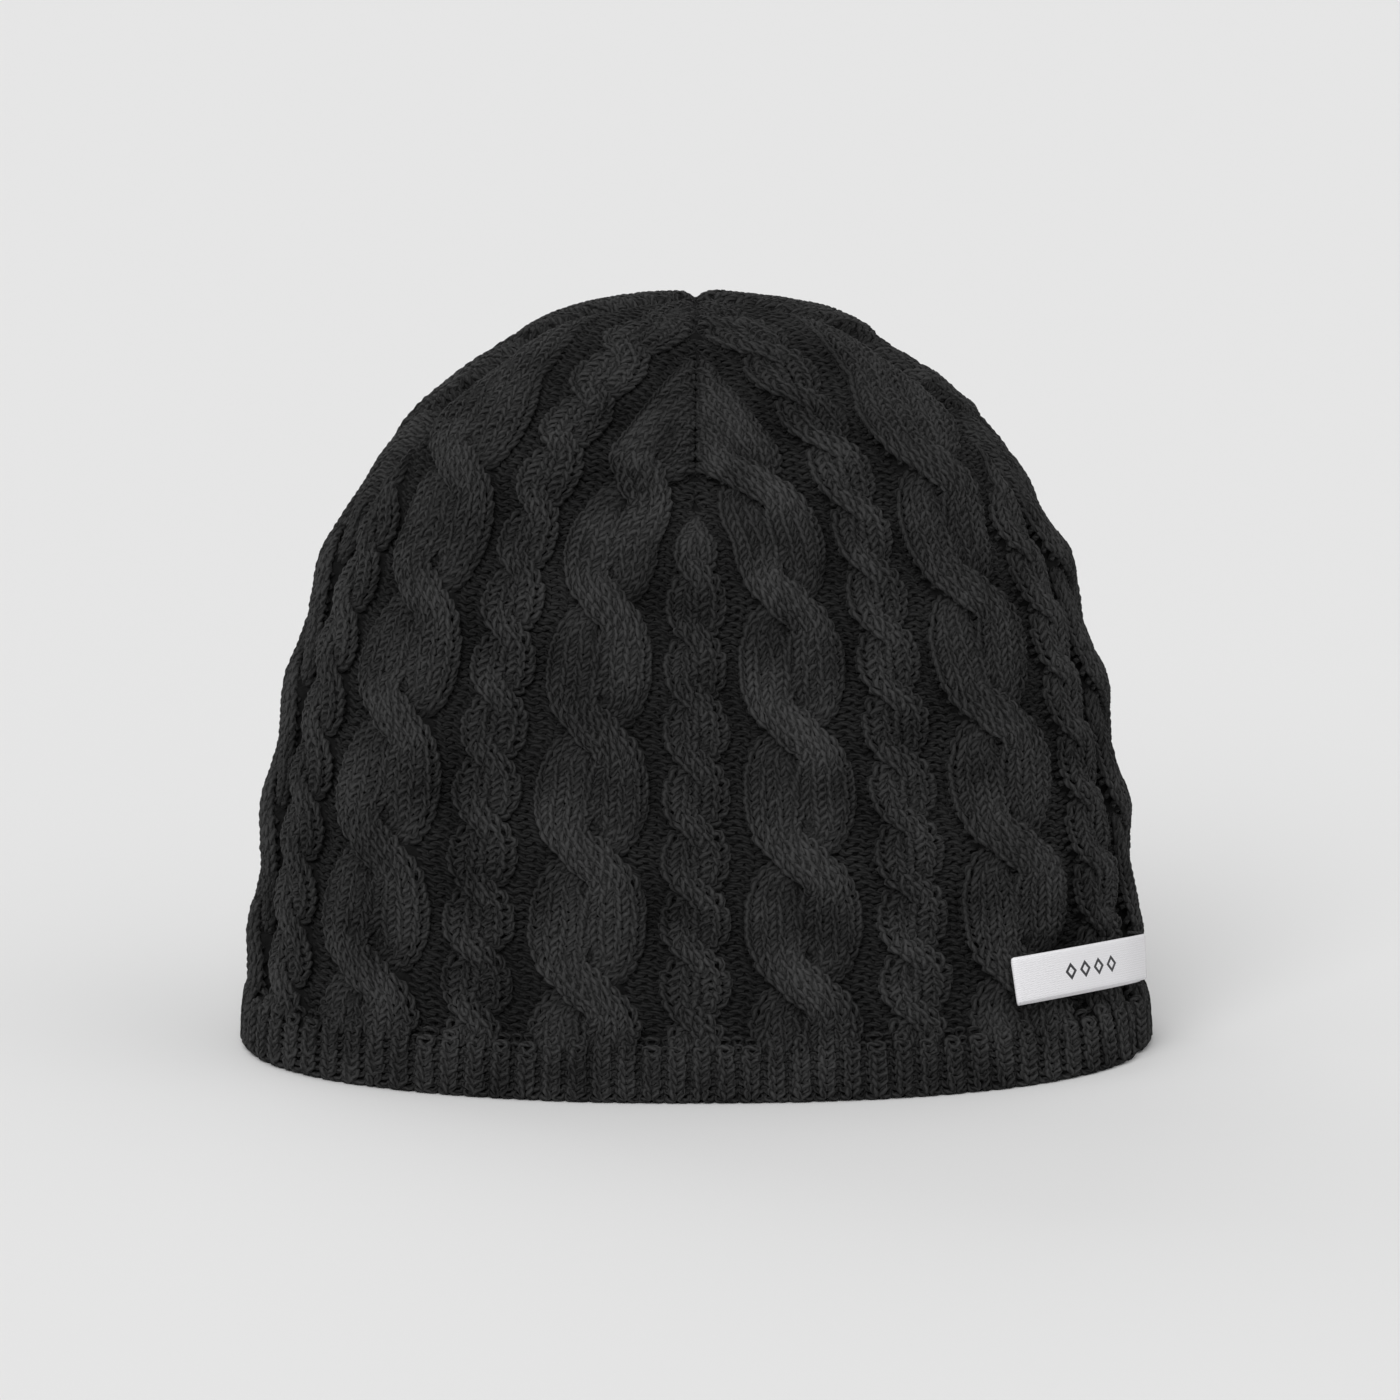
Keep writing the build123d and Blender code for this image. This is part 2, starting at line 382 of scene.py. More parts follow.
def in_crown(height, place_round, distance):
    """Height of fabric as it evens out up the crown, most of all beside and behind its side seams."""
    level = np.interp(distance, WALL_DISTANCES, WALL_LEVELS)
    around = place_round % WALES
    away = np.minimum(around, WALES - around) - SEAM_WALE
    behind = away > 0
    reach = np.where(behind, BACK_REACH, SIDE_REACH)
    beside = np.exp(-((away * WALE * half_width(level) / HALF_WIDTH / reach) ** 2))
    beside = np.where(behind, BACK_EVENING, SIDE_EVENING) * beside
    beside = beside * smooth_step(distance, DART_DISTANCE - 5, DART_DISTANCE + 25)
    up_crown = smooth_step(distance, DART_DISTANCE + 10, WALL_LENGTH - 5)
    height = height * (1 - CROWN_EVENING * up_crown)
    return height + beside * (np.where(behind, BACK_LEVEL, SIDE_LEVEL) - height)


SHOULDER_HEIGHT = 157
SHOULDER = np.interp(SHOULDER_HEIGHT / HEIGHT, WALL_LEVELS, WALL_DISTANCES)
WALL_SLACK = 1.5            # mm; the wall hangs in, and so does the fabric under the flag label
FLAG_SLACK = 1.0
SHOULDER_SWELL = 1.7        # mm; the shoulder and the top swell out, and the apex less so
TOP_SWELL = 2.1
APEX_SLACK = 0.8


def slack(wale, distance):
    """How far in the fabric hangs, in mm. It is slack over the wall and swells over the crown."""
    shoulder = np.exp(-(((distance - SHOULDER) / 20) ** 2))
    top = smooth_step(distance, WALL_LENGTH - 62, WALL_LENGTH - 30)
    flag = smooth_step(distance, 15, 20) * (1 - smooth_step(distance, 33, 40))
    around = wale % WALES
    flag = flag * smooth_step(around, 20, 26) * (1 - smooth_step(around, 37, 41))
    care = smooth_step(distance, 20, 28) * (1 - smooth_step(distance, 56, 66))
    care = care * smooth_step(around, 36, 38) * (1 - smooth_step(around, 41, 44))
    wall = smooth_step(distance, 8, 25) * (1 - smooth_step(distance, 90, 130))
    apex = smooth_step(distance, WALL_LENGTH - 38, WALL_LENGTH - 12)
    hanging = WALL_SLACK * wall * (1 - care) + FLAG_SLACK * flag
    return hanging - SHOULDER_SWELL * shoulder - TOP_SWELL * top + APEX_SLACK * apex


def sagging(across, crown):
    """How far a course dips at a place across a gore, -1 to 1, and up the crown, 0 to 1."""
    return COURSE_SAG * (across**2 - 0.35) * 4 * crown * (1 - crown)


def course(row, start, stop):
    """The yarn of one course between two places round the hat.

    Returns its tubes, each with its points, normals, radius, its two ends as shares of the way
    from start to stop, and how prominent it is, 0 in the ground and 1 on a crest, for its painted
    shade.
    """
    first = np.floor(start) - 1
    count = int(np.ceil(stop) + 1 - first)
    steps = np.arange(count * SAMPLES + 1)
    stitch = first + np.minimum(steps // SAMPLES, count - 1)
    part = (steps - (stitch - first) * SAMPLES) / SAMPLES
    wale = stitch + part
    noise = STITCH_NOISE[:, row, (stitch % WALES).astype(int)]
    lift = -LOOP_REACH * (1 + 0.05 * noise[0]) * np.cos(TURN * part)
    fabric = body_knit(stitch, wale, row, lift)
    rib_moved, rib_height, rib_facing, rib_stretch = rib_knit(stitch, wale)
    rib = 1 - smooth_step(row, RIB_ROWS - 1.5, RIB_ROWS + 1.5)
    shift = (fabric["moved"] - wale) * (1 - rib) + (rib_moved - wale) * rib
    height = fabric["height"] * (1 - rib) + rib_height * rib
    tilt = fabric["tilt"] * (1 - rib)
    facing = rib_facing if rib > 0.5 else fabric["facing"]
    step = np.hypot(np.diff(shift) * WALE, np.diff(tilt) * ROW)
    breaks = np.flatnonzero(step > LONGEST_STEP) + 1
    segments = np.split(steps, breaks)
    shift, tilt, height = (eased(values, segments) for values in (shift, tilt, height))
    for cut in breaks:
        height[cut:cut + len(DIVE)] -= DIVE
        height[cut - len(DIVE):cut] -= DIVE[::-1]
    before = np.roll(facing, SAMPLES)
    after = np.roll(facing, -SAMPLES)
    before[:SAMPLES] = facing[:SAMPLES]
    after[-SAMPLES:] = facing[-SAMPLES:]
    facing = facing + (before - facing) * np.clip(0.5 - 2.2 * part, 0, 0.5)
    facing = facing + (after - facing) * np.clip(0.5 - 2.2 * (1 - part), 0, 0.5)
    lean = LOOP_LEAN * (1 + 0.15 * noise[1]) * np.sin(2 * TURN * part)
    depth = -LOOP_DEPTH * (1 + 0.12 * noise[2]) * facing * np.cos(2 * TURN * part)
    depth = depth + LOOP_TUCK * facing * np.cos(TURN * part)

    wale_here = wale + shift + lean * (fabric["stretch"] * (1 - rib) + rib_stretch * rib)
    wale_here = wale_here + 0.03 * noise[3] + 0.10 * waviness(wale, row, 0)
    tilt = tilt + lean * fabric["lean_tilt"] * (1 - rib)
    distance = EDGE + (row + lift + tilt + 0.04 * noise[4] * (row > 0)) * ROW
    distance = distance + 0.5 * waviness(wale, row, 1) * smooth_step(row, 0, 12)
    distance = np.clip(distance, 0.75, WALL_LENGTH - 0.6)
    middle, half = gore_of(np.clip(wale, start + 1e-3, stop - 1e-3))
    width = gore_width(distance)
    inside = (wale >= start) & (wale <= stop)
    if row >= DART_ROW:
        inside &= abs((wale + shift - middle) / half) <= gore_width(EDGE + row * ROW) - SEAM_HALF / half
    across = np.clip((wale_here - middle) / width / half, -1, 1)
    crown = np.clip((distance - DART_DISTANCE) / (WALL_LENGTH - DART_DISTANCE), 0, 1)
    spread = np.where(crown > 0, middle + across * half, wale_here)
    distance = np.clip(distance - sagging(across, crown), 0.75, WALL_LENGTH - 0.6)
    # Prominence sets the yarn's painted shade: low yarn is painted darker, and the rib a little darker
    # still.
    prominence = np.clip(height / PROMINENT, 0, 1) * (1 - RIB_SHADE * rib)
    height = in_crown(height, spread, distance)
    height = drawn_in(height, spread, distance, middle, half)[0] - slack(spread, distance)
    height = height + depth + 0.3 * waviness(wale, row, 2)
    points, normals = place(spread, distance, GROUND + height)
    level = np.interp(distance, WALL_DISTANCES, WALL_LEVELS)
    pitch = half_width(level) / HALF_WIDTH / width
    yarn = PURL_YARN + (KNIT_YARN - PURL_YARN) * (facing + 1) / 2
    radius = yarn * fabric["swell"] * np.clip(pitch / 0.72, 0.55, 1.0) * (1 + 0.04 * noise[5])
    pieces = []
    for segment in segments:
        kept = segment[inside[segment]]
        if len(kept) > 4:
            ends = (wale[kept[[0, -1]]] - start) / (stop - start)
            pieces.append((points[kept], normals[kept], radius[kept], ends, prominence[kept]))
    return pieces


# --- Meshes ----------------------------------------------------------------------------------

def new_piece(name, mesh, material):
    mesh.materials.append(material)
    piece = bpy.data.objects.new(name, mesh)
    bpy.context.scene.collection.objects.link(piece)
    return piece


def filled_mesh(name, coordinates, corners, starts, layers):
    """A smooth mesh from flat arrays. layers holds the UVs of every corner by layer name."""
    mesh = bpy.data.meshes.new(name)
    mesh.vertices.add(len(coordinates))
    mesh.vertices.foreach_set("co", (coordinates * MM).astype(np.float32).ravel())
    mesh.loops.add(len(corners))
    mesh.loops.foreach_set("vertex_index", corners.astype(np.int32))
    mesh.polygons.add(len(starts))
    mesh.polygons.foreach_set("loop_start", starts.astype(np.int32))
    for layer, values in layers.items():
        mesh.uv_layers.new(name=layer).data.foreach_set("uv", values.astype(np.float32).ravel())
    mesh.update(calc_edges=True)
    mesh.validate()
    mesh.shade_smooth()
    return mesh


def tube_rings(points, normals, radius, sides):
    along = np.gradient(points, axis=0)
    along /= np.linalg.norm(along, axis=1, keepdims=True)
    side = np.cross(along, normals)
    side /= np.linalg.norm(side, axis=1, keepdims=True)
    up = np.cross(side, along)
    turns = np.arange(sides) * TURN / sides
    ring = np.cos(turns)[None, :, None] * side[:, None] + np.sin(turns)[None, :, None] * up[:, None]
    return points[:, None] + ring * radius[:, None, None]


def tubes(name, courses, material, sides=SIDES):
    """One piece of closed tubes, listed course by course.

    Its UV layers hold a place in an atlas, one strip to a course, the place along and round the
    yarn, and how prominent the yarn is, from which the material paints its shade.
    """
    vertices, corners, starts, atlas, yarn, relief = [], [], [], [], [], []
    vertex_count, corner_count = 0, 0
    paths = [(strip, *path) for strip, course_paths in enumerate(courses) for path in course_paths]
    for strip, points, normals, radius, (begin, finish), prominence in paths:
        n = len(points)
        vertices.append(tube_rings(points, normals, radius, sides).reshape(-1, 3))
        ring = np.arange(n - 1)[:, None] * sides
        a = np.arange(sides)[None, :]
        b = (a + 1) % sides
        quads = np.stack([ring + a, ring + sides + a, ring + sides + b, ring + b], axis=-1)
        corners.append(quads.reshape(-1) + vertex_count)
        starts.append(np.arange(quads.shape[0] * sides) * 4 + corner_count)
        corner_count += quads.size
        length = np.concatenate([[0], np.cumsum(np.linalg.norm(np.diff(points, axis=0), axis=1))])
        here, there = length[:-1, None] + 0 * a, length[1:, None] + 0 * a
        low, high = (a + 0 * ring) / sides, (a + 1 + 0 * ring) / sides
        u = np.stack([here, there, there, here], axis=-1)
        v = np.stack([low, low, high, high], axis=-1)
        yarn.append(np.stack([u, v], axis=-1).reshape(-1, 2))
        this, following = prominence[:-1, None] + 0 * a, prominence[1:, None] + 0 * a
        prominent = np.stack([this, following, following, this], axis=-1)
        relief.append(np.stack([prominent, 0 * prominent], axis=-1).reshape(-1, 2))
        total = length[-1]
        low_u, wide_u = 0.01 + 0.98 * begin, 0.98 * (finish - begin)
        placed = np.stack([low_u + wide_u * u / total, (strip + 0.1 + 0.8 * v) / len(courses)], axis=-1)
        atlas.append(placed.reshape(-1, 2))
        for first, order, end in ((0, 1, 0.0), ((n - 1) * sides, -1, 1.0)):
            corners.append((first + np.arange(sides))[::order] + vertex_count)
            starts.append(np.array([corner_count]))
            corner_count += sides
            yarn.append(np.tile([[end * total, 0.5]], (sides, 1)))
            relief.append(np.tile([[prominence[-1 if end else 0], 0.0]], (sides, 1)))
            atlas.append(np.tile([[low_u + wide_u * end, (strip + 0.5) / len(courses)]], (sides, 1)))
        vertex_count += n * sides
    layers = {"Yarn": yarn, "OFBake": atlas, "Prominence": relief}
    layers = {layer: np.concatenate(values) for layer, values in layers.items()}
    vertices, corners, starts = (np.concatenate(parts) for parts in (vertices, corners, starts))
    return new_piece(name, filled_mesh(name, vertices, corners, starts, layers), material)


def even_tube(points, normals, radius):
    """A path for tubes() of one thickness, over its whole strip and as prominent as can be."""
    return points, normals, np.full(len(points), radius), (0, 1), np.ones(len(points))


def sheet(name, grid, material, layers=None):
    """One piece from a grid of points, its last column joined to its first.

    Its bake UVs run from 0 to 1 both ways.
    layers holds more UVs, one pair to a grid point, by layer name.
    """
    rows, columns = grid.shape[:2]
    index = np.arange(rows * columns).reshape(rows, columns)
    index = np.concatenate([index, index[:, :1]], axis=1)
    quads = np.stack([index[:-1, :-1], index[:-1, 1:], index[1:, 1:], index[1:, :-1]], axis=-1)
    shares = (np.linspace(0, 1, count) for count in index.shape)
    v, u = np.meshgrid(*shares, indexing="ij")
    uv = np.stack([u, v], axis=-1)
    corner_uv = np.stack([uv[:-1, :-1], uv[:-1, 1:], uv[1:, 1:], uv[1:, :-1]], axis=2)
    starts = np.arange(quads.shape[0] * quads.shape[1]) * 4
    uvs = {layer: values.reshape(-1, 2)[quads.reshape(-1)] for layer, values in (layers or {}).items()}
    uvs["OFBake"] = corner_uv.reshape(-1, 2)
    mesh = filled_mesh(name, grid.reshape(-1, 3), quads.reshape(-1), starts, uvs)
    return new_piece(name, mesh, material)


# --- Materials -------------------------------------------------------------------------------

def new_material(name, roughness, specular):
    material = bpy.data.materials.new(name)
    material.use_nodes = True
    nodes, links = material.node_tree.nodes, material.node_tree.links
    surface = nodes["Principled BSDF"]
    surface.inputs["Roughness"].default_value = roughness
    surface.inputs["Specular IOR Level"].default_value = specular
    return material, nodes, links, surface


def calculated(nodes, links, operation, first, second=None):
    node = nodes.new("ShaderNodeMath")
    node.operation = operation
    for socket, value in zip(node.inputs, (first, second)):
        if isinstance(value, (int, float)):
            socket.default_value = value
        elif value is not None:
            links.new(value, socket)
    return node.outputs[0]


SUNKEN_PAINTED_SHADE = 0.5                # painted shade: brightness of the yarn in the ground against the yarn on the crests


def yarn_material(name, dark, light, ply_pitch, bump):
    """Plied yarn: twisted grooves, streaks of fibre, slow changes of shade and painted shade, darker in
    the ground and in the grooves between plies.
    """
    material, nodes, links, surface = new_material(name, 0.92, 0.05)
    surface.inputs["Sheen Weight"].default_value = 0.03
    surface.inputs["Sheen Roughness"].default_value = 0.6
    uv = nodes.new("ShaderNodeUVMap")
    uv.uv_map = "Yarn"
    split = nodes.new("ShaderNodeSeparateXYZ")
    links.new(uv.outputs[0], split.inputs[0])
    along, around = split.outputs[0], split.outputs[1]
    turns = calculated(nodes, links, "DIVIDE", along, ply_pitch)
    twist = calculated(nodes, links, "ADD", turns, calculated(nodes, links, "MULTIPLY", around, 3.0))
    wave = calculated(nodes, links, "SINE", calculated(nodes, links, "MULTIPLY", twist, TURN))
    ply = calculated(nodes, links, "ADD", calculated(nodes, links, "MULTIPLY", wave, 0.5), 0.5)

    stretch = nodes.new("ShaderNodeCombineXYZ")
    links.new(calculated(nodes, links, "MULTIPLY", along, 1.2), stretch.inputs[0])
    links.new(calculated(nodes, links, "MULTIPLY", twist, 5.0), stretch.inputs[1])
    fibres = nodes.new("ShaderNodeTexNoise")
    fibres.inputs["Scale"].default_value = 1.0
    fibres.inputs["Detail"].default_value = 3.0
    links.new(stretch.outputs[0], fibres.inputs["Vector"])

    place_in = nodes.new("ShaderNodeTexCoord")
    patches = nodes.new("ShaderNodeTexNoise")
    patches.inputs["Scale"].default_value = 60.0
    patches.inputs["Detail"].default_value = 2.0
    links.new(place_in.outputs["Object"], patches.inputs["Vector"])

    # relief drives both the bump and the colour: the grooves between plies are also painted darker, a
    # painted shade, and the streaks of fibre vary the tone.
    relief = calculated(nodes, links, "ADD", calculated(nodes, links, "MULTIPLY", ply, 0.30),
                        calculated(nodes, links, "MULTIPLY", fibres.outputs["Fac"], 0.90))
    shade = calculated(nodes, links, "ADD", patches.outputs["Fac"], 0.5)
    tone = calculated(nodes, links, "MULTIPLY", relief, shade)
    ramp = nodes.new("ShaderNodeValToRGB")
    ramp.color_ramp.elements[0].position = 0.34
    ramp.color_ramp.elements[0].color = (*dark, 1)
    ramp.color_ramp.elements[1].position = 0.88
    ramp.color_ramp.elements[1].color = (*light, 1)
    links.new(tone, ramp.inputs[0])
    # Painted shade: the base colour is scaled from the ground's brightness above up to full on the
    # crests, by how prominent the yarn is.
    relief_uv = nodes.new("ShaderNodeUVMap")
    relief_uv.uv_map = "Prominence"
    prominence = nodes.new("ShaderNodeSeparateXYZ")
    links.new(relief_uv.outputs[0], prominence.inputs[0])
    caught = calculated(nodes, links, "MULTIPLY", prominence.outputs[0], 1.0 - SUNKEN_PAINTED_SHADE)
    shaded = nodes.new("ShaderNodeVectorMath")
    shaded.operation = "SCALE"
    links.new(ramp.outputs[0], shaded.inputs[0])
    links.new(calculated(nodes, links, "ADD", caught, SUNKEN_PAINTED_SHADE), shaded.inputs["Scale"])
    links.new(shaded.outputs[0], surface.inputs["Base Color"])
    bumps = nodes.new("ShaderNodeBump")
    bumps.inputs["Strength"].default_value = 1.0
    bumps.inputs["Distance"].default_value = bump * MM
    links.new(relief, bumps.inputs["Height"])
    links.new(bumps.outputs[0], surface.inputs["Normal"])
    return material


def haze_and_shade_material():
    """The haze of fibres that closes the gaps between loops, near black as painted shade of those gaps.
    """
    material, nodes, links, surface = new_material("charcoal_haze_and_shade", 1.0, 0.0)
    place_in = nodes.new("ShaderNodeTexCoord")
    fibres = nodes.new("ShaderNodeTexNoise")
    fibres.inputs["Scale"].default_value = 900.0
    fibres.inputs["Detail"].default_value = 3.0
    links.new(place_in.outputs["Object"], fibres.inputs["Vector"])
    # Painted shade: the haze is coloured darker than the wool, as the shade between the loops.
    ramp = nodes.new("ShaderNodeValToRGB")
    ramp.color_ramp.elements[0].color = (0.005, 0.005, 0.005, 1)
    ramp.color_ramp.elements[1].color = (0.016, 0.016, 0.016, 1)
    links.new(fibres.outputs["Fac"], ramp.inputs[0])
    links.new(ramp.outputs[0], surface.inputs["Base Color"])
    return material


# Dark and light shade, mm from ply to ply and mm of bump.
wool = yarn_material("charcoal_wool", (0.0013, 0.0013, 0.0013), (0.050, 0.050, 0.0502), 3.4, 0.35)
linking = yarn_material("linking_yarn", (0.0012, 0.0012, 0.0012), (0.032, 0.032, 0.0322), 2.0, 0.12)
haze = haze_and_shade_material()

# --- Knitted pieces --------------------------------------------------------------------------

SECTORS = 10
SECTOR = WALES // SECTORS
SEAM_NEXT = SEAM_WALE + 0.5


def dress(piece, slot, *nodes):
    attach(piece, "hat")
    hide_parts(*nodes)


def courses(rows, start, stop):
    return [course(row, start, stop) for row in rows]


seam_start, seam_stop = SEAM_WALE + SEAM_HALF, SEAM_WALE - SEAM_HALF + WALES
dress(tubes("rib_hem_knit", courses(range(RIB_ROWS), seam_start, seam_stop), wool), "knit", "rib_hem")

first_crown_row = int(np.ceil(DART_ROW))
for index in range(SECTORS):
    start = SEAM_NEXT + SECTOR * index if index else seam_start
    stop = SEAM_NEXT + SECTOR * (index + 1) if index < SECTORS - 1 else seam_stop
    knitting = courses(range(RIB_ROWS, first_crown_row), start, stop)
    dress(tubes(f"body_knit_{index + 1:02d}", knitting, wool), "knit", "knit_body")

GORES = {
    "front_right": (0, SEAM_WALE),
    "back_right": (SEAM_WALE, WALES / 2),
    "back_left": (WALES / 2, WALES - SEAM_WALE),
    "front_left": (WALES - SEAM_WALE, WALES),
}
for name, (start, stop) in GORES.items():
    knitting = courses(range(first_crown_row, LAST_ROW + 1), start, stop)
    dress(tubes(f"crown_knit_{name}", knitting, wool), "knit", f"crown_gore_{name}")


def cable_bulk(column, wale, row):
    """Height of the middle of a cable's fabric, the higher of its two strands."""
    rows = rows_from_crossing(column, row)
    strength = cable_strength(column, row)
    value, _, crossing = swing(column, rows)
    half = cable_half(column)
    period = by_size(column, WIDE_PERIOD, NARROW_PERIOD)
    rise = by_size(column, 1.35, 0.95) * (np.cos(np.pi * rows / period) + 0.35 * crossing)
    crossed = by_size(column, 2.22, 1.3) * value
    apart = crossed * strength + np.where(value < 0, -half, half) / 2 * (1 - strength)
    reach = (cable_edge(column, rows, strength) - abs(crossed)) * strength + half / 2 * (1 - strength)
    bulk = 0.0
    for side in (-1, 1):
        within = (wale - column * COLUMN - side * apart) / reach
        strand = strand_height(column, within) - side * rise * strength
        bulk = np.maximum(bulk, strand * (1 - smooth_step(abs(within), 0.7, 1.15)))
    share = abs(wale - column * COLUMN) / cable_edge(column, rows, strength)
    return np.maximum(bulk, by_size(column, 2.9, 2.2) * (1 - smooth_step(share, 0.35, 0.85)))


def haze_grid():
    """The middle of the fabric, a little under its strands."""
    per_wale, per_row, under_knit, under_purl = 3, 1.6, 0.65, 0.25
    place_round = np.arange(WALES * per_wale) / per_wale + SEAM_WALE
    distance = np.linspace(1.2, WALL_LENGTH - 0.1, int(per_row * LAST_ROW))
    place_round, distance = np.meshgrid(place_round, distance)
    middle, half = gore_of(place_round)
    across = (place_round - middle) / half
    crown = np.clip((distance - DART_DISTANCE) / (WALL_LENGTH - DART_DISTANCE), 0, 1)
    wale = middle + across * half * gore_width(distance)
    row = (distance + sagging(across, crown) - EDGE) / ROW
    left = np.floor(wale / COLUMN)
    bulk = np.maximum(cable_bulk(left, wale, row), cable_bulk(left + 1, wale, row))
    body = bulk - np.where(bulk > under_knit, under_knit, under_purl)
    rib = 1 - smooth_step(row, RIB_ROWS - 1.5, RIB_ROWS + 1.5)
    height = body * (1 - rib) + (rib_knit(np.floor(wale), wale)[1] - under_knit) * rib
    height = in_crown(height, place_round, distance)
    height, dip = drawn_in(height, place_round, distance, middle, half)
    height = height - 0.35 * dip - slack(place_round, distance)
    return place(place_round, distance, GROUND + height)[0]


# The haze sheet is partly fibre and partly painted shade of the gaps between loops.
dress(sheet("fibre_haze_and_shade", haze_grid(), haze), "knit",
      "rib_hem", "knit_body", *[f"crown_gore_{name}" for name in GORES])

# --- Seams and crown tie ---------------------------------------------------------------------

def seam_coil(wale, low, high):
    """Linking yarn whipped over the two edges of a seam, on the inside of the hat."""
    turn_rise = 2.4
    turns = (high - low) / turn_rise
    t = np.linspace(0, turns, int(turns * 14))
    distance = np.clip(low + t * turn_rise, 0.9, WALL_LENGTH - 1)
    middle, normal = place(wale + 0 * t, distance, GROUND - 1.9 + 0 * t)
    along = np.gradient(middle, axis=0)
    along /= np.linalg.norm(along, axis=1, keepdims=True)
    side = np.cross(along, normal)
    angle = (TURN * t)[:, None]
    points = middle + 1.25 * np.cos(angle) * side + 0.85 * np.sin(angle) * normal
    return [even_tube(points, np.cos(angle) * side + np.sin(angle) * normal, 0.36)]


SEAMS = {
    "dart_seam_front": (0.0, DART_DISTANCE - 1),
    "dart_seam_back": (WALES / 2, DART_DISTANCE - 1),
    "dart_seam_left": (WALES - SEAM_WALE, DART_DISTANCE - 1),
    "closing_seam": (SEAM_WALE, 1.2),
}
for name, (wale, low) in SEAMS.items():
    dress(tubes(f"{name}_yarn", [seam_coil(wale, low, RING_DISTANCE)], linking), "seam_yarn", name)


def tie_paths():
    """The yarn drawn through the last course, and the knot that fastens it."""
    t = np.linspace(0, 1, 240)
    angle = TURN * 3 * t
    radius = 4.3 - 1.3 * t + 0.35 * np.sin(7 * angle)
    height = HEIGHT + GROUND + 0.6 + 0.45 * np.cos(7 * angle) + 0.6 * t
    ring = np.stack([radius * np.cos(angle), radius * np.sin(angle), height], axis=-1)
    angle = TURN * np.linspace(0, 1, 90)
    bend = 1.5 + 0.75 * np.cos(3 * angle)
    knot = np.stack([bend * np.cos(2 * angle), bend * np.sin(2 * angle),
                     HEIGHT + GROUND + 1.2 + 0.5 * np.sin(3 * angle)], axis=-1)
    up = np.array([[0.0, 0.0, 1.0]])
    return [[even_tube(ring, up + 0 * ring, 0.55)], [even_tube(knot, up + 0 * knot, 0.6)]]


dress(tubes("crown_tie_yarn", tie_paths(), linking), "seam_yarn", "crown_tie")

# --- Labels ----------------------------------------------------------------------------------

SEAM_DIRECTION = np.radians(90 - 11)
LABEL_STANDOFF = 0.3
ALLOWANCE = 1.4             # mm that the edges of the closing seam stand into the hat
ELEVATION = np.radians(10.2)    # of the camera, from which the flag label looks straight

FLAG_PLY = 0.45             # mm; how thick the tape is, how wide, and how long once folded
FLAG_TAPE = 12.0
FLAG_LENGTH = 53.8
FLAG_LEVEL = 20.5           # height of the section of the hat that the label follows
FLAG_BOTTOM = 19.2          # height of its lower edge at the seam
FLAG_TILT = 0.169           # its rise over run as it is seen from the camera
FLAG_SLANT = 2.1            # mm that its fold leans from its lower edge to its upper one
MARK_AT = 2 * FLAG_LENGTH - 26      # mm along the tape to the middle of the mark

CARE_PLY = 0.3
CARE_TAPE = 24.0
CARE_LENGTH = 34.0
CARE_LEVEL = 54.0
CARE_BOTTOM = 30.0
CARE_INSET = 6.0            # mm, the thickness of the CAD's wall


def walk_round(level, inset, standoff, lengths, outward):
    """Points and outward normals at lengths along a level section, away from the closing seam."""
    share = level / (HEIGHT - inset)
    wide = (HALF_WIDTH - inset) * (1 - WIDTH_TAPER * share) * closing(share) + outward * standoff
    deep = (HALF_DEPTH - inset) * (1 - DEPTH_TAPER * share) * closing(share) + outward * standoff
    directions = SEAM_DIRECTION - outward * np.radians(np.linspace(-4, 60, 1300))
    x, y = unit_section(directions)
    x, y = x * wide, y * deep
    travelled = np.concatenate([[0], np.cumsum(np.hypot(np.diff(x), np.diff(y)))])
    travelled -= np.interp(4, np.linspace(0, 64, 1300), travelled)
    points = np.stack([np.interp(lengths, travelled, x), np.interp(lengths, travelled, y)], axis=-1)
    along = np.gradient(points, axis=0)
    along /= np.linalg.norm(along, axis=1, keepdims=True)
    normals = np.stack([-along[:, 1], along[:, 0]], axis=-1)
    if normals[0, 0] < 0:
        normals = -normals
    return points, normals * outward


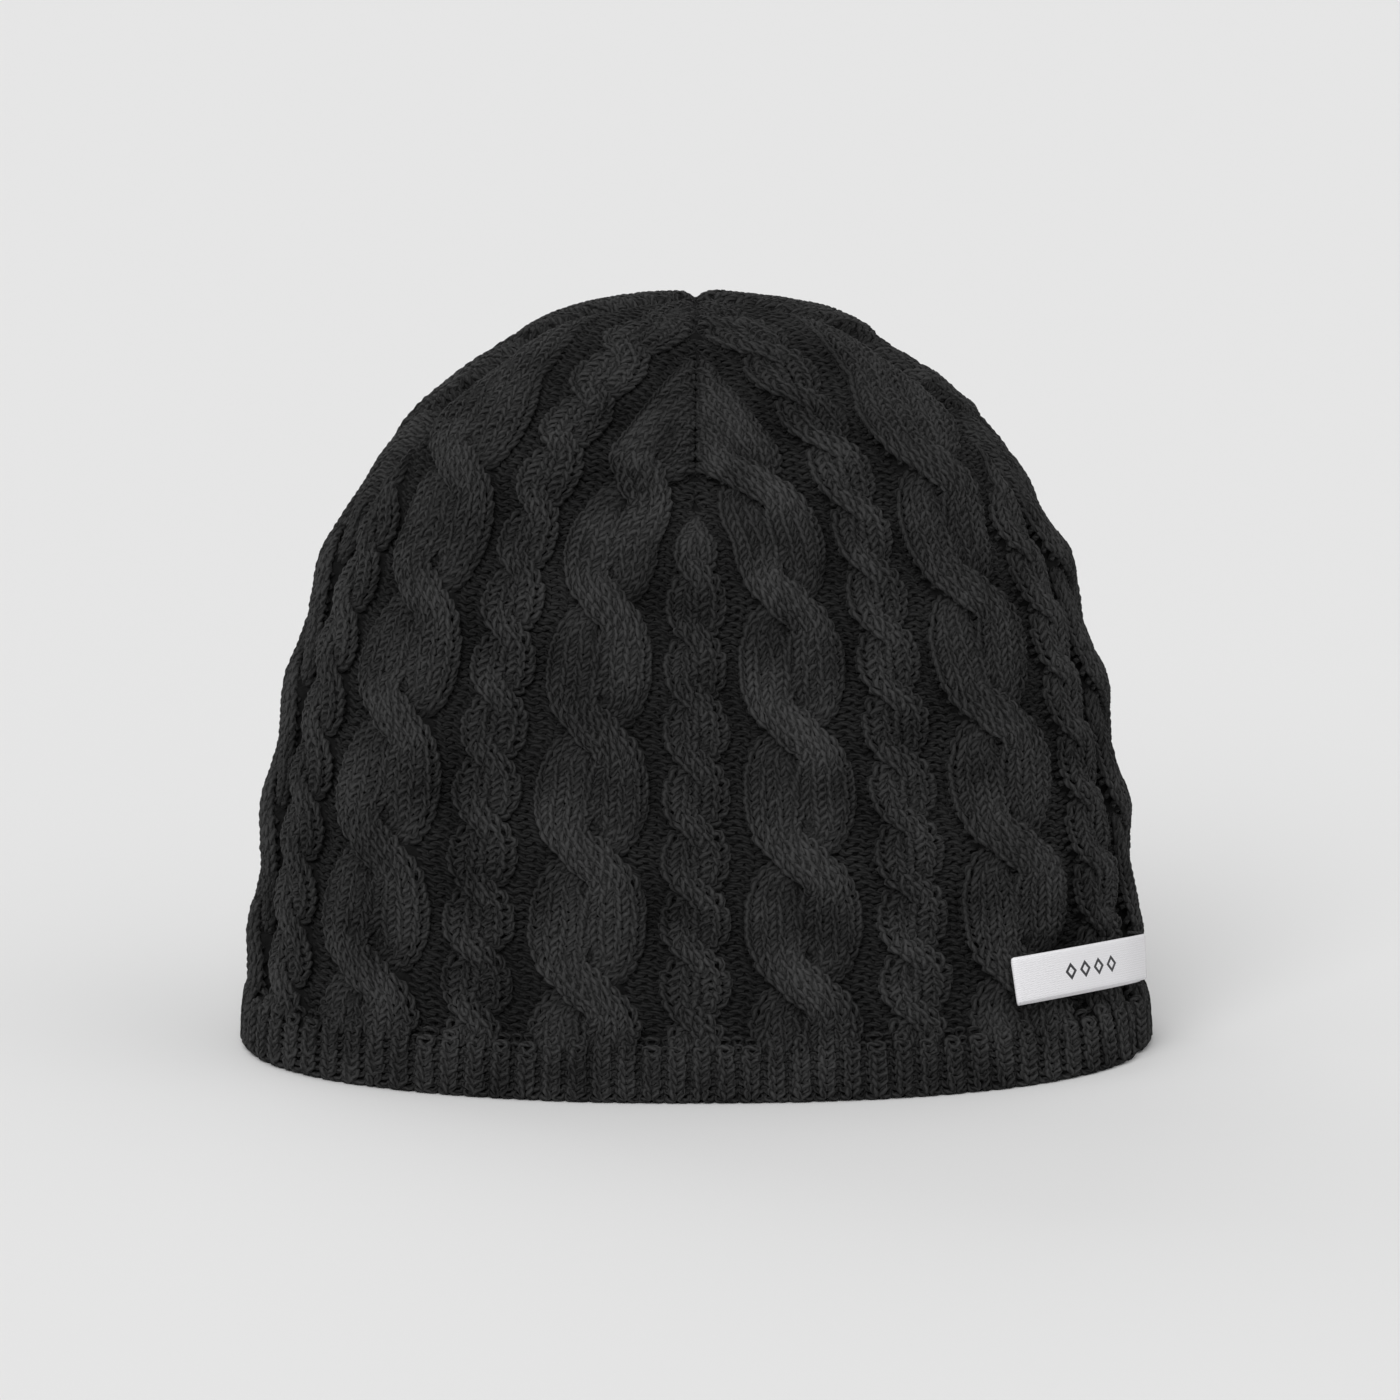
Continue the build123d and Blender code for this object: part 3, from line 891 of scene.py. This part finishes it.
def label_piece(name, level, inset, outward, ply, tape, length, bottom_at, slant, material):
    """A tape folded in half: out along the fabric, round a crisp fold and back to the seam.

    bottom_at gives the height of its lower edge at points of the fabric, and slant is how far
    its fold leans, in mm from the lower edge to the upper one.
    """
    raw_end, hollow, tight = 0.6, 1.0, 0.3
    count = 70
    out = np.linspace(-raw_end, length, count)
    base, normals = walk_round(level, inset, LABEL_STANDOFF + ply / 2, out, outward)
    gap = tight + (hollow - tight) * (1 - smooth_step(out, 2, 26))
    near = 0.10 * np.sin(out / 6.5) * smooth_step(out, 4, 14)
    if outward < 0:
        near = near + ALLOWANCE * (1 - smooth_step(out, 3, 13))
    far = near + gap + ply + 0.14 * np.sin(out / 8 + 1) * smooth_step(out, 4, 14)
    fold_turns = np.linspace(0, np.pi, 12)[1:-1]
    radius = (gap[-1] + ply) / 2
    along = base[-1] - base[-2]
    along /= np.linalg.norm(along)
    fold = (base[-1] + normals[-1] * (near[-1] + radius)
            + np.sin(fold_turns)[:, None] * along * radius * 1.2
            - np.cos(fold_turns)[:, None] * normals[-1] * radius)
    near_ply, far_ply = base + normals * near[:, None], base + normals * far[:, None]
    centre = np.concatenate([near_ply, fold, far_ply[::-1]])
    forward = np.gradient(centre, axis=0)
    forward /= np.linalg.norm(forward, axis=1, keepdims=True)
    side = np.stack([forward[:, 1], -forward[:, 0]], axis=-1)
    travelled = np.concatenate([[0], np.cumsum(np.linalg.norm(np.diff(centre, axis=0), axis=1))])
    folded = count + len(fold)
    lift = bottom_at(*centre.T) - 0.35 * (1 - smooth_step(np.arange(len(centre)), count, folded))
    away = np.concatenate([forward[:count], np.tile(along, (len(fold), 1)), -forward[folded:]])
    across = np.linspace(0, 1, 15)
    edge = ply / 2 * np.sqrt(np.clip(1 - abs(2 * across - 1) ** 24, 0.05, 1))
    ring_across = np.concatenate([across, across[::-1]])
    ring_side = np.concatenate([edge, -edge[::-1]])
    grid = np.empty((len(centre), len(ring_across), 3))
    grid[..., :2] = centre[:, None] + side[:, None] * ring_side[None, :, None]
    grid[..., :2] += away[:, None] * (slant * (ring_across - 0.5))[None, :, None]
    grid[..., 2] = lift[:, None] + tape * ring_across[None, :]
    tape_uv = np.stack(np.broadcast_arrays(travelled[:, None], tape * ring_across[None, :]), axis=-1)
    ends = [(grid[[i]] + grid[[i], ::-1]) / 2 for i in (0, -1)]
    grid = np.concatenate([ends[0], grid, ends[1]])
    tape_uv = np.concatenate([tape_uv[:1], tape_uv, tape_uv[-1:]])
    return sheet(name, grid, material, layers={"Tape": tape_uv})


def satin_material(name, tint, mark_at=None):
    """Woven satin tape: fine ribs of weft, a sheen along them and, on request, a woven mark.

    mark_at is the distance along the tape of the middle of the mark, a row of plain lozenges.
    """
    material, nodes, links, surface = new_material(name, 0.5, 0.3)
    surface.inputs["Sheen Weight"].default_value = 0.15
    uv = nodes.new("ShaderNodeUVMap")
    uv.uv_map = "Tape"
    split = nodes.new("ShaderNodeSeparateXYZ")
    links.new(uv.outputs[0], split.inputs[0])
    along, across = split.outputs[0], split.outputs[1]

    def maths(operation, first, second=None):
        return calculated(nodes, links, operation, first, second)

    weft = maths("SINE", maths("MULTIPLY", across, TURN / 0.6))
    diagonal = maths("ADD", along, maths("MULTIPLY", across, 1.7))
    twill = maths("SINE", maths("MULTIPLY", diagonal, TURN / 0.9))
    slubs = nodes.new("ShaderNodeTexNoise")
    slubs.inputs["Scale"].default_value = 1.0
    slubs.inputs["Detail"].default_value = 2.0
    slub_place = nodes.new("ShaderNodeCombineXYZ")
    links.new(maths("MULTIPLY", along, 2.0), slub_place.inputs[0])
    links.new(maths("MULTIPLY", across, 2.6), slub_place.inputs[1])
    links.new(slub_place.outputs[0], slubs.inputs["Vector"])
    relief = maths("ADD", maths("MULTIPLY", weft, 0.15), maths("MULTIPLY", twill, 0.2))
    relief = maths("ADD", relief, maths("MULTIPLY", slubs.outputs["Fac"], 1.3))
    ramp = nodes.new("ShaderNodeValToRGB")
    ramp.color_ramp.elements[0].color = (*(0.66 * value for value in tint), 1)
    ramp.color_ramp.elements[1].color = (*tint, 1)
    links.new(maths("MULTIPLY", relief, 0.9), ramp.inputs[0])
    colour = ramp.outputs[0]
    if mark_at:
        pitch, count, half_wide, half_tall, line = 5.4, 4, 2.1, 2.3, 0.5
        from_middle = maths("SUBTRACT", along, mark_at)
        within = maths("LESS_THAN", maths("ABSOLUTE", from_middle), count * pitch / 2)
        cell = maths("FRACT", maths("ADD", maths("DIVIDE", from_middle, pitch), count))
        from_centre = maths("ABSOLUTE", maths("SUBTRACT", cell, 0.5))
        sideways = maths("MULTIPLY", from_centre, pitch / half_wide)
        from_line = maths("ABSOLUTE", maths("SUBTRACT", across, FLAG_TAPE / 2))
        upward = maths("DIVIDE", from_line, half_tall)
        out = maths("ADD", sideways, upward)
        inside = maths("LESS_THAN", out, 1.0)
        lozenge = maths("MULTIPLY", inside, maths("GREATER_THAN", out, 1 - line))
        mask = maths("MULTIPLY", within, lozenge)
        mixed = nodes.new("ShaderNodeMix")
        mixed.data_type = "RGBA"
        links.new(mask, mixed.inputs["Factor"])
        links.new(colour, mixed.inputs["A"])
        mixed.inputs["B"].default_value = (0.02, 0.02, 0.024, 1)
        colour = mixed.outputs["Result"]
    links.new(colour, surface.inputs["Base Color"])
    bumps = nodes.new("ShaderNodeBump")
    bumps.inputs["Strength"].default_value = 0.6
    bumps.inputs["Distance"].default_value = 0.05 * MM
    links.new(relief, bumps.inputs["Height"])
    links.new(bumps.outputs[0], surface.inputs["Normal"])
    return material


def flag_bottom(x, y):
    """Lower edge of the flag label, straight as it is seen from the camera."""
    at_seam, _ = walk_round(FLAG_LEVEL, 0.0, 0.0, np.array([0.0, 0.1]), 1)
    seam_x, seam_y = at_seam[0]
    run, depth = seam_x - x, y - seam_y
    return FLAG_BOTTOM - (FLAG_TILT * run + depth * np.sin(ELEVATION)) / np.cos(ELEVATION)


def care_bottom(x, y):
    """Lower edge of the care label, which is level."""
    return CARE_BOTTOM + 0 * x


flag_satin = satin_material("flag_satin", (0.868, 0.860, 0.884), MARK_AT)
care_satin = satin_material("care_satin", (0.78, 0.78, 0.765))
flag = label_piece("flag_label_tape", FLAG_LEVEL, 0.0, 1, FLAG_PLY, FLAG_TAPE, FLAG_LENGTH,
                   flag_bottom, FLAG_SLANT, flag_satin)
care = label_piece("care_label_tape", CARE_LEVEL, CARE_INSET, -1, CARE_PLY, CARE_TAPE, CARE_LENGTH,
                   care_bottom, 0.0, care_satin)


def label_thread_path(level, inset, outward, ply, low, high):
    """Thread upright between the plies of a label, with both ends turned into the seam."""
    standoff, bite = LABEL_STANDOFF + ply + 0.5, 2.5
    point = walk_round(level, inset, standoff, np.array([0.0, 0.01]), outward)[0][0]
    outwards = np.append(point / np.linalg.norm(point), 0)
    base = np.append(point, 0)
    root = base - outward * (standoff + bite) * outwards
    up = np.array([0, 0, 1.0])
    knots = np.array([root + low * up, base + low * up, base + high * up, root + high * up])
    lengths = np.concatenate([[0], np.cumsum(np.linalg.norm(np.diff(knots, axis=0), axis=1))])
    at = np.arange(0, lengths[-1], 0.12)
    points = np.stack([np.interp(at, lengths, knots[:, i]) for i in range(3)], axis=-1)
    points = np.stack([eased(line, [slice(None)], reach=3) for line in points.T], axis=-1)
    return [even_tube(points, np.cross(up, outwards) + 0 * points, 0.36)]


sewing_thread = yarn_material("sewing_thread", (0.01, 0.01, 0.01), (0.05, 0.05, 0.051), 0.9, 0.05)
flag_path = label_thread_path(FLAG_LEVEL, 0.0, 1, FLAG_PLY, 18.8, 31.6)
care_path = label_thread_path(CARE_LEVEL, CARE_INSET, -1, CARE_PLY, 28.7, 55.3)
for name, path in (("flag_label_thread", flag_path), ("care_label_thread", care_path)):
    dress(tubes(f"{name}_stitch", [path], sewing_thread, sides=10), "label_thread", name)

for piece, node, slot in ((flag, "flag_label", "flag_tape"), (care, "care_label", "care_tape")):
    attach(piece, node)
    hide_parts(node)

# --- Stage -----------------------------------------------------------------------------------

PAPER = 0.80
BACKDROP = 0.784            # what the camera sees of the sky, and the light that the sky gives
SKY_LIGHT = 0.50
FLOOR = 12                  # metres from the middle of the floor to its edges

paper, _, _, paper_surface = new_material("stage_paper", 1.0, 0.0)
paper_surface.inputs["Base Color"].default_value = (PAPER, PAPER, PAPER, 1)
floor_mesh = bpy.data.meshes.new("floor")
floor_corners = [(-FLOOR, -FLOOR, 0), (FLOOR, -FLOOR, 0), (FLOOR, FLOOR, 0), (-FLOOR, FLOOR, 0)]
floor_mesh.from_pydata(floor_corners, [], [(0, 1, 2, 3)])
floor = new_piece("floor", floor_mesh, paper)
floor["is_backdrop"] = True

world = bpy.data.worlds.new("studio")
world.use_nodes = True
world_nodes, world_links = world.node_tree.nodes, world.node_tree.links
sky = world_nodes["Background"]
sky.inputs[0].default_value = (1, 1, 1, 1)
is_seen = world_nodes.new("ShaderNodeLightPath").outputs["Is Camera Ray"]
seen = calculated(world_nodes, world_links, "MULTIPLY", is_seen, BACKDROP - SKY_LIGHT)
world_links.new(calculated(world_nodes, world_links, "ADD", seen, SKY_LIGHT), sky.inputs[1])
bpy.context.scene.world = world


def sun(name, direction, strength, spread):
    """A sun that shines along direction. spread is how wide it looks, in degrees."""
    data = bpy.data.lights.new(name, "SUN")
    data.energy = strength
    data.angle = np.radians(spread)
    light = bpy.data.objects.new(name, data)
    bpy.context.scene.collection.objects.link(light)
    light.rotation_mode = "QUATERNION"
    light.rotation_quaternion = Vector(direction).to_track_quat("-Z", "Y")


sun("key", (0.22, 1.0, -0.75), 1.85, 35)
sun("fill", (-0.8, 0.6, -0.8), 0.3, 60)
sun("back", (0.4, -1.0, -0.35), 0.8, 50)

LENS_DISTANCE = 5.0
PICTURE_WIDTH = 0.353       # metres across the picture at AIM
AIM = np.array([0.0011, 0, 0.0872])
camera_data = bpy.data.cameras.new("camera")
camera_data.sensor_width = 36
camera_data.lens = camera_data.sensor_width * LENS_DISTANCE / PICTURE_WIDTH
camera_data.clip_end = 60
camera = bpy.data.objects.new("camera", camera_data)
bpy.context.scene.collection.objects.link(camera)
bpy.context.scene.camera = camera
camera.rotation_euler = (np.pi / 2 - ELEVATION, 0, 0)
camera.location = AIM + LENS_DISTANCE * np.array([0, -np.cos(ELEVATION), np.sin(ELEVATION)])
bpy.context.scene.view_settings.view_transform = "Standard"

low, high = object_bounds()
